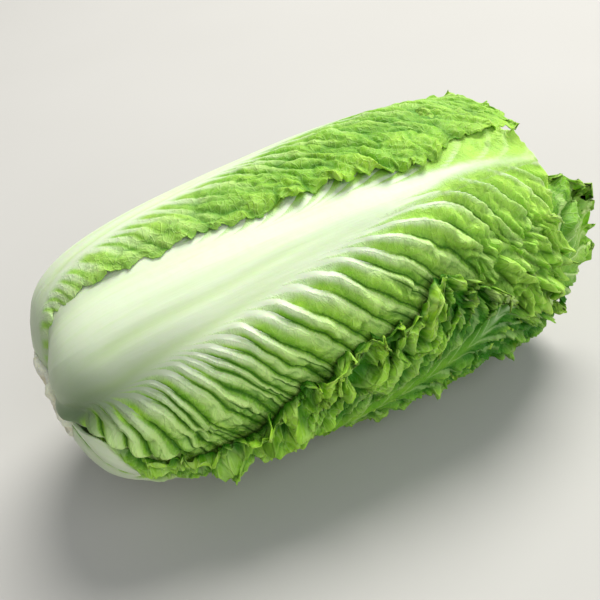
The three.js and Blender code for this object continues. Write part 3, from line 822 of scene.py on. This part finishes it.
    # painted shade: the crease lines are painted dark green going towards black
    base = t.mix(t.math("MULTIPLY", line, .78), base, t.mix(.3, deep, (0, 0, 0, 1)))
    base = t.mix(rib_, base, white)
    bsdf = t.add("ShaderNodeBsdfPrincipled")
    t.put(bsdf.inputs["Base Color"], base)
    rough = t.math("MULTIPLY_ADD", fine, .2, .4)
    rough = t.math("MULTIPLY_ADD", rib_, -.06, rough)
    t.put(bsdf.inputs["Roughness"], rough)
    bsdf.inputs["Specular IOR Level"].default_value = .24
    bsdf.inputs["Subsurface Weight"].default_value = sss
    bsdf.inputs["Subsurface Radius"].default_value = (.6, 1.0, .35)
    bsdf.inputs["Subsurface Scale"].default_value = .0022
    height = t.math("MULTIPLY_ADD", net, t.math("MULTIPLY_ADD", A["blis"], 1.2, .4), t.math("MULTIPLY_ADD", net2, .3, t.math("MULTIPLY", fine, .5)))
    height = t.math("MULTIPLY_ADD", cord, 1.6, t.math("MULTIPLY_ADD", line, -2.4, height))
    hr = t.math("MULTIPLY", height, t.math("SUBTRACT", 1.0, rib_))
    hr = t.math("MULTIPLY_ADD", t.math("MULTIPLY", streak, rib_), .5, hr)
    bmp = t.add("ShaderNodeBump")
    bmp.inputs["Strength"].default_value = .5
    bmp.inputs["Distance"].default_value = .0007
    t.put(bmp.inputs["Height"], hr)
    t.put(bsdf.inputs["Normal"], bmp.outputs[0])
    out = t.add("ShaderNodeOutputMaterial")
    t.put(out.inputs["Surface"], bsdf.outputs[0])
    return t.mat


MAT_OUTER = leaf_material("leaf_outer", srgb(170, 224, 54), srgb(126, 196, 20), srgb(46, 118, 2), srgb(172, 224, 42), srgb(228, 240, 208), srgb(202, 234, 142))
MAT_SECOND = leaf_material("leaf_second", srgb(172, 224, 60), srgb(130, 198, 26), srgb(50, 122, 4), srgb(174, 224, 48), srgb(230, 241, 212), srgb(204, 234, 146))
MAT_INNER = leaf_material("leaf_inner", srgb(200, 224, 112), srgb(176, 210, 84), srgb(110, 160, 44), srgb(204, 222, 92), srgb(244, 247, 230), srgb(222, 234, 172))
MAT_HEART = leaf_material("leaf_heart", srgb(234, 230, 134), srgb(216, 220, 108), srgb(162, 184, 66), srgb(230, 224, 106), srgb(248, 248, 232), srgb(238, 237, 182))

# ------------------------------------------------------------------ the leaves
SPECS = {
    0: dict(seed=11, ruffle=(2.5, 3.5, 2), young=(30, 60), fold=3.4, crinkle=1.4, tuck=2.6, tone_and_shade=[(0, .1), (.3, .4), (1, .5)],
            rib_half=[(0, 38), (.05, 53), (.1, 57), (.14, 52), (.18, 40), (.22, 34), (.3, 30), (.45, 22), (.6, 15), (.75, 8), (.9, 3), (1, 2)]),
    1: dict(seed=23, blister=.45, tuck=3.2, deeper=1.8, ruffle=(4.4, 5.4, 3.0), round=1.5, wave=1.2, relief_light_and_shade=.3, young=(8, 36), ruffle_at=[(0, .3), (50, .6), (100, .9), (220, 1.1), (245, 1), (275, .6), (330, .5)], tip_ruffle=1.0, tip_at=[(-100, 1.2), (30, 1.2), (48, .35), (70, .2)], pale_plus=1.0, pale=[(0, .56), (110, .4), (170, 0), (240, .1), (330, .25)], tone_and_shade=[(0, .05), (.4, .16), (.6, .14), (1, .02)],
            fold=4.4, fscale=1.6, fold_at=[(20, .5), (90, .7), (170, 1)], start=[(0, .05), (80, .12), (150, .3), (220, .6)], crinkle=.8, vein=1.8, cut=1.5, lobes=6.5, crumple=[(0, .1), (8, .4), (24, 1), (60, 1)], reach=[(0, 18), (120, 34), (300, 50)]),
    2: dict(seed=37, relief_light_and_shade=.7, ruffle=(5.4, 7.2, 5), aspect=.55, white=[(0, 1), (52, 1), (76, 0), (222, 0), (244, .35), (330, .2)], young=(42, 64), ruffle_at=[(0, .3), (75, .75), (105, .7), (135, 1.2), (170, 1.6), (240, 1.1), (290, .7), (330, .5)], tip_ruffle=.45, fold=8.5, fscale=1.0, shear=3.6, crinkle=2.6, vein=.9, cut=.8, wave=1.2,
            crumple=[(0, .1), (6, .5), (16, 1), (50, 1)], tone_and_shade=[(0, .15), (.3, .1), (.5, .1), (.66, .45), (.8, .7), (1, .6)], floor_shade_across=[(-75, .15), (-50, .15), (-25, .3), (0, .55), (60, .45)], blister=.9, wedge=.15, lobes=5, rim=1.5, vein_colour=.3, net=1.6, line=.45,
            rib_half=[(0, 36), (.05, 43), (.09, 45), (.13, 28), (.16, 14), (.2, 6), (.25, 3), (.4, 2), (.6, 1.8), (.8, 1.5), (1, 1)],
            rib_shift=[(0, 0), (100, 0), (250, -60), (330, -72)]),
    3: dict(seed=5, tuck=-.6, minus_wedge=.7, minus_rib=[(0, 1), (80, .95), (110, .75), (137, .66), (160, .72), (182, .85), (212, 1.1), (300, 1)], ruffle=(5, 6, 2.6), young=(60, 100), tip_ruffle=1.3, fold=3.2, crinkle=1.3, vein=2.6, cut=2.4, valley=3.8, deeper=1.8, close=5.0, minus_vein=.12, groove=.8, rim=1.0, aspect=.45, cut_at=[(0, 1), (180, 1), (220, .65), (300, .5)], pillow=[(0, .62), (140, .62), (190, .3), (300, .2)], ruffle_at=[(0, 1), (150, 1), (220, 1.5), (300, 1.7)],
            columns=[(0, 1.7), (.15, 1.5), (.3, 1), (.8, .9), (1, .6)],
            spacing=[(0, 6), (60, 7), (100, 8), (140, 9.5), (180, 12), (240, 16), (300, 16)],
            crumple=[(0, 0), (10, .24), (22, .55), (36, 1.1), (54, 1.9)], fold_at=[(0, .9), (150, 1.1), (190, 2.0), (230, 2.6), (300, 2.6)], reach=[(0, 40), (60, 60), (150, 62), (185, 50), (215, 38), (300, 30)],
            bend=12.0, c1=[(0, 4), (60, 6), (110, 5), (150, 6), (175, 15), (197, 28), (225, 30), (270, 26)], c2=[(0, .1), (40, .22), (62, .42), (85, .6), (110, .7), (160, .74), (195, .65), (240, .65)],
            pale=[(0, 0), (150, 0), (210, .48), (330, .56)], pale_plus=.6, top=1.0, tone_and_shade=[(0, 0), (.2, -.05), (.45, -.15), (.62, -.42), (1, -.5)], wander=1.5, shade=1.0, uneven=1.0, blister=.7, wide=[(0, 1), (130, 1), (175, 1.7), (300, 1.9)],
            rib_shift=[(0, 0), (30, -3), (60, -6), (100, -7), (150, -8), (206, -8), (242, -8.5), (270, -6), (300, -2)],
            rib_half=[(0, 26), (.1, 26), (.16, 31), (.216, 29.8), (.267, 28.2), (.306, 27.5), (.357, 25.7), (.412, 23.8), (.454, 21.8), (.5, 19.5), (.554, 17), (.602, 14.6), (.663, 10.4), (.728, 6.4), (.779, 3.7), (.837, 2.3), (.9, 1.5), (1, 1)]),
}
Q = 1.0
leaves = []
for k in range(len(LEAVES)):
    if k < 4:
        ob = finish_leaf(k, int([230, 300, 300, 378][k] * Q), int([150, 190, 190, 172][k] * Q), SPECS[k], MAT_OUTER)
    elif k < 8:
        ob = finish_leaf(k, int((164 if k == 4 else 124) * Q), int((124 if k == 4 else 96) * Q), dict(
            seed=50 + 7 * k, rib_half=[(0, 25), (.1, 29), (.2, 28), (.36, 22), (.5, 14), (.65, 7), (.8, 3), (1, 1.5)], rows=2.0,
            ruffle=(6, 7, 3), lobes=6, tip_ruffle=2.0 if k == 4 else 1.5, **({} if k == 4 else dict(fold=6.0)), vein=1.2, cut=1.0, crumple=[(0, 0), (6, .5), (14, 1)],
            out=9.0 if k == 4 else 0.0, flare=6.0 if k == 4 else 0.0, fold_in=([.2, .4, .42, .46][k - 4], 36),
            **(dict(blister=.7, white=[(0, 1), (200, 1), (240, 0)], fold=8.0, tone_and_shade=[(0, 0), (.75, .1), (.9, .55), (1, .3)]) if k == 4 else {})), MAT_SECOND)
    elif k < 14:
        ob = finish_leaf(k, 66, 60, dict(seed=50 + 7 * k, ruffle=(5, 5, 2), vein=1.0, cut=.6, crinkle=.8, fold=3.0, crumple=[(0, 0), (8, .5), (20, 1)], lobes=4, tip_ruffle=1.2,
                                         columns=[(0, 1), (1, 1)], rows=6.0, fold_in=(.56 + .055 * (k - 8), 50)), MAT_INNER)
    else:
        ob = finish_leaf(k, 52, 48, dict(seed=50 + 7 * k, ruffle=(4, 4.5, 2), vein=.8, cut=.5, crinkle=.6, fold=2.5, crumple=[(0, 0), (6, .5), (16, 1)], lobes=4, tip_ruffle=1.2,
                                         columns=[(0, 1), (1, 1)], rows=6.0, fold_in=(.88 + .014 * (k - 14), 50)), MAT_HEART)
    if k >= 8:  # the heart draws together round the head's axis towards the leaf tips
        co = np.empty(len(ob.data.vertices) * 3, np.float32)
        ob.data.vertices.foreach_get("co", co)
        co = co.reshape(-1, 3)
        dy, dz = co[:, 1] - np.interp(co[:, 0], [0, .1, .13], [-.002, .006, .01]), co[:, 2] - .076
        f = np.minimum(np.hypot(dy, dz) / .032, 1) ** smooth(.01, .085, co[:, 0])
        co[:, 1] += dy * (f - 1)
        co[:, 2] += dz * (f - 1)
        ob.data.vertices.foreach_set("co", co.ravel())
        ob.data.update()
    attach(ob, "root")
    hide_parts(LEAVES[k]["name"])
    leaves.append(ob)

print("triangles", {o.name: sum(len(f.vertices) - 2 for f in o.data.polygons) for o in leaves[::5]}, sum(sum(len(f.vertices) - 2 for f in o.data.polygons) for o in leaves))
# ------------------------------------------------------------------ the cut stem
def stem():
    nr, na = 70, 160
    th = np.linspace(0, 2 * math.pi, na, endpoint=False)
    prof = [(0, -2.2), (6, -2.4), (12, -2.6), (18, -2.8), (22, -3.0), (24.2, -2.9), (25.4, -2.4), (25.9, -1.2), (26.1, 0.2), (26.3, .8)]
    prof += [(26.3 - 23 * s_ / 66, s_) for s_ in (3, 8, 16, 28, 42, 56, 64)] + [(3.2, 67.5), (0, 68.3)]
    pr = np.array(prof, float)
    L = np.concatenate([[0], np.cumsum(np.hypot(np.diff(pr[:, 0]), np.diff(pr[:, 1])))])
    # most rings on the cut face and its rim
    s_ = np.concatenate([np.linspace(0, L[9], nr - 20), np.linspace(L[9], L[-1], 21)[1:]])
    r = np.interp(s_, L, pr[:, 0])
    x = np.interp(s_, L, pr[:, 1])
    rr, tt = np.meshgrid(r, th, indexing="ij")
    xx = np.repeat(x[:, None], na, 1)
    cx, cy = rr * np.cos(tt), rr * np.sin(tt)
    face = smooth(1.5, -1.0, xx)
    xx = xx + face * (.35 * fbm(cx / 6, cy / 6, 71, 3) + .18 * noise(cx / 1.1, cy / 9, 72))
    # leaf scars: shallow steps round the rim
    scar = noise(np.cos(tt) * 2.1 + 5, np.sin(tt) * 2.1 + rr * .05, 73)
    xx = xx + face * smooth(15, 24, rr) * (1.5 * smooth(.05, .16, scar) + 1.1 * smooth(-.3, -.2, scar) - .9)
    rr = rr * (1 + face * smooth(20, 26, rr) * (.05 * noise(np.cos(tt) * 3.2, np.sin(tt) * 3.2, 74) + .02 * noise(np.cos(tt) * 9, np.sin(tt) * 9, 75)))
    P = np.stack([xx, -rr * np.sin(tt), OVAL_Z * rr * np.cos(tt)], -1)
    verts = P.reshape(-1, 3)
    v = np.arange(nr * na).reshape(nr, na)
    vn = np.roll(v, -1, 1)
    quads = np.stack([v[:-1], vn[:-1], vn[1:], v[1:]], -1).reshape(-1, 4)
    uu = np.linspace(0, 1, na + 1)
    uv = np.stack(np.meshgrid(np.linspace(.01, .99, nr), uu * .98 + .01, indexing="ij"), -1)
    uvq = np.stack([uv[:-1, :-1], uv[:-1, 1:], uv[1:, 1:], uv[1:, :-1]], -2).reshape(-1, 4, 2)
    # the two poles are single points: drop the zero-length sides by merging afterwards
    attrs = dict(face=face.ravel(), rad=(rr / 27).ravel(), scar=np.clip(scar, -1, 1).ravel())
    ob = raw_mesh("stem_butt", verts, quads.ravel(), np.full(len(quads), 4, np.int32), uvq.reshape(-1, 2), attrs, stem_material())
    import bmesh
    bm = bmesh.new()
    bm.from_mesh(ob.data)
    bmesh.ops.remove_doubles(bm, verts=bm.verts, dist=1e-6)
    bm.to_mesh(ob.data)
    bm.free()
    return ob


def stem_material():
    t = Tree("cut_stem")
    tc = t.add("ShaderNodeTexCoord").outputs["Object"]
    rad, face = t.attr("rad"), t.attr("face")
    n1 = t.noise(tc, 120, 4, .6)
    n2 = t.noise(tc, 700, 3, .6)
    ring = t.ramp(rad, [(0, srgb(226, 218, 188)), (.45, srgb(236, 230, 206)), (.72, srgb(232, 228, 200)), (.88, srgb(240, 240, 220)), (1, srgb(236, 238, 214))])
    base = t.mix(t.math("MULTIPLY", t.remap(n1, .45, .7), .45), ring, srgb(206, 190, 142))
    base = t.mix(t.math("MULTIPLY", t.remap(n2, .5, .75), .25), base, srgb(170, 146, 98))
    base = t.mix(face, srgb(232, 236, 214), base)
    bsdf = t.add("ShaderNodeBsdfPrincipled")
    t.put(bsdf.inputs["Base Color"], base)
    t.put(bsdf.inputs["Roughness"], t.math("MULTIPLY_ADD", n2, .2, .5))
    bsdf.inputs["Subsurface Weight"].default_value = .2
    bsdf.inputs["Subsurface Radius"].default_value = (1, .9, .5)
    bsdf.inputs["Subsurface Scale"].default_value = .002
    bmp = t.add("ShaderNodeBump")
    bmp.inputs["Strength"].default_value = .6
    bmp.inputs["Distance"].default_value = .0006
    t.put(bmp.inputs["Height"], t.math("MULTIPLY_ADD", n1, 1.0, n2))
    t.put(bsdf.inputs["Normal"], bmp.outputs[0])
    t.put(t.add("ShaderNodeOutputMaterial").inputs["Surface"], bsdf.outputs[0])
    return t.mat


butt = stem()
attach(butt, "root")
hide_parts("stem_core")

# ------------------------------------------------------------------ floor, light, world
t = Tree("floor")
n = t.noise(t.add("ShaderNodeTexCoord").outputs["Object"], 3.0, 2)
bsdf = t.add("ShaderNodeBsdfPrincipled")
t.put(bsdf.inputs["Base Color"], t.mix(n, srgb(192, 190, 185), srgb(199, 197, 193)))
bsdf.inputs["Roughness"].default_value = .9
bsdf.inputs["Specular IOR Level"].default_value = .2
t.put(t.add("ShaderNodeOutputMaterial").inputs["Surface"], bsdf.outputs[0])
me = bpy.data.meshes.new("floor")
S_ = 40.0
me.from_pydata([(-S_, -S_, 0), (S_, -S_, 0), (S_, S_, 0), (-S_, S_, 0)], [], [(0, 1, 2, 3)])
me.materials.append(t.mat)
floor = bpy.data.objects.new("floor", me)
bpy.context.scene.collection.objects.link(floor)


def area(name, at, to, size, power, colour=(1, 1, 1)):
    data = bpy.data.lights.new(name, "AREA")
    data.shape, data.size, data.energy, data.color = "DISK", size, power, colour
    ob = bpy.data.objects.new(name, data)
    at, to = Vector(at), Vector(to)
    ob.location = at
    ob.rotation_euler = (to - at).to_track_quat("-Z", "Y").to_euler()
    bpy.context.scene.collection.objects.link(ob)


area("key", (1.3, .9, 2.54), (0, 0, .06), 1.87, 107, (1, .99, .95))
area("fill", (1.0, -2.62, 1.93), (0, 0, .05), 3.25, 54, (.97, .99, 1))
world = bpy.data.worlds.new("world")
world.use_nodes = True
world.node_tree.nodes["Background"].inputs[0].default_value = (.86, .89, .93, 1)
world.node_tree.nodes["Background"].inputs[1].default_value = .3
bpy.context.scene.world = world
bpy.context.scene.view_settings.view_transform = "Standard"
bpy.context.scene.view_settings.look = "None"
